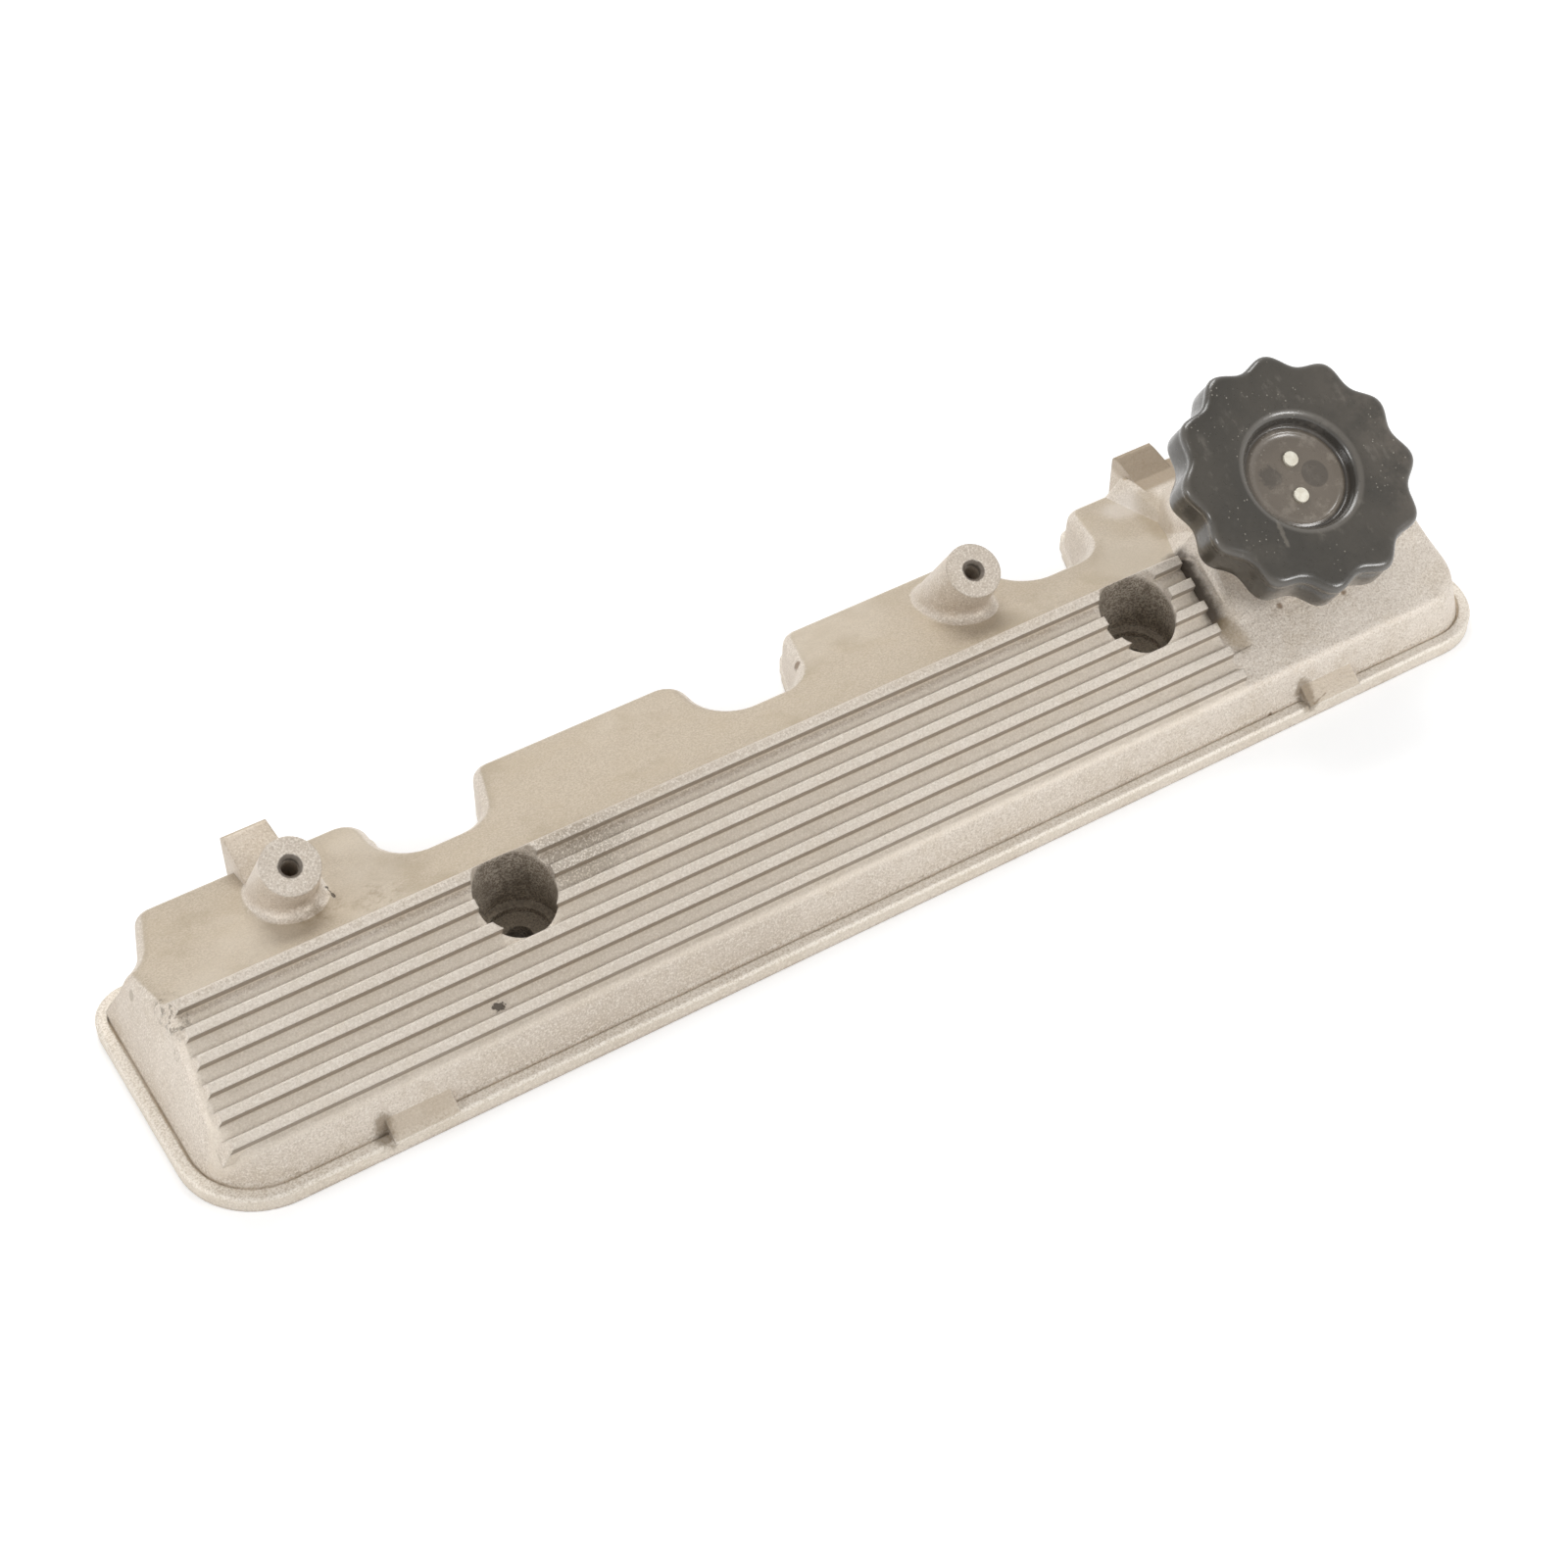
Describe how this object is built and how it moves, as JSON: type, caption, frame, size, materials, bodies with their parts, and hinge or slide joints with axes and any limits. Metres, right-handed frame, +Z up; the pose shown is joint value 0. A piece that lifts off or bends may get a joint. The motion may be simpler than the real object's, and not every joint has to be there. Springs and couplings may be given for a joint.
{
  "type": "engine valve cover",
  "caption": "Long ribbed cast valve cover with spark plug notches, deep bolt wells, tapped bosses and a leaning filler neck closed by a lobed bayonet cap.",
  "frame": {"origin": "on the gasket plane, midway between the two cover bolt holes", "axes": "+X along the cover towards the oil filler end, +Y towards the spark plug notches, +Z up out of the gasket plane"},
  "size_m": [0.4328, 0.1041, 0.0819],
  "materials": {
    "casting": "sand cast, blasted",
    "knob_plastic": "moulded, scuffed",
    "rivet_metal": "satin",
    "plate_steel": "plain pressed",
    "seal_rubber": "matt"
  },
  "bodies": {
    "cover": {"cover_casting": "casting"},
    "seal_ring": {"cap_seal": "seal_rubber"},
    "cap": {"cap_knob": "knob_plastic", "cap_rivet_1": "rivet_metal", "cap_rivet_2": "rivet_metal", "cap_bayonet_plate": "plate_steel"}
  },
  "joints": [
    {"name": "cap_lift", "type": "slide", "parent": "cover", "child": "seal_ring", "axis": [0, -0.4695, 0.8829], "range_m": [0, 0.04]},
    {"name": "cap_turn", "type": "hinge", "parent": "seal_ring", "child": "cap", "pos_m": [0.1592, -0.0031, 0.0649], "axis": [0, -0.4695, 0.8829], "range_deg": [-90, 0]}
  ]
}
